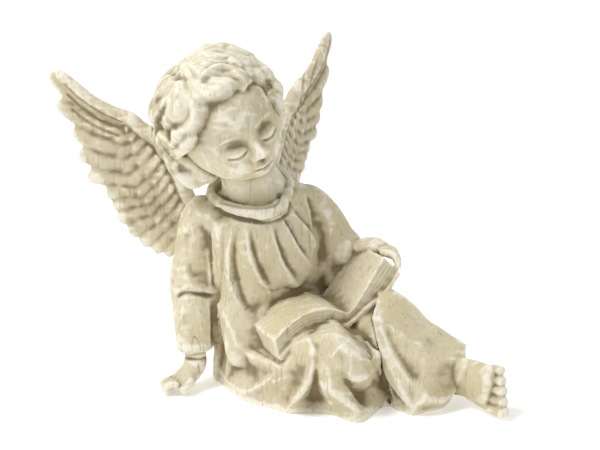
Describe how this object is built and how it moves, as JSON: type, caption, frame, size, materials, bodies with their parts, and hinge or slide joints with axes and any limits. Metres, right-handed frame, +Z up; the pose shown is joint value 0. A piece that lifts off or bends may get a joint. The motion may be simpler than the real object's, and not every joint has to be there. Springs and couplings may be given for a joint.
{
  "type": "angel figurine",
  "caption": "Seated child angel figurine with spread wings, leaning on one hand and reading an open book; cast in one piece.",
  "frame": {"origin": "middle of the bounding box at the underside, on the surface the figurine sits on", "axes": "+Z up; +X to the viewer's right, along the figurine's length from the resting hand to the bare foot; +Y away from the viewer, so the book and face look towards -Y"},
  "size_m": [0.2994, 0.2156, 0.228],
  "materials": {
    "cast_resin": "cream cast resin with a soft sheen, tan wash in the recesses, worn pale edges and fine cracks"
  },
  "bodies": {
    "root": {"angel_figurine": "cast_resin"}
  },
  "joints": []
}
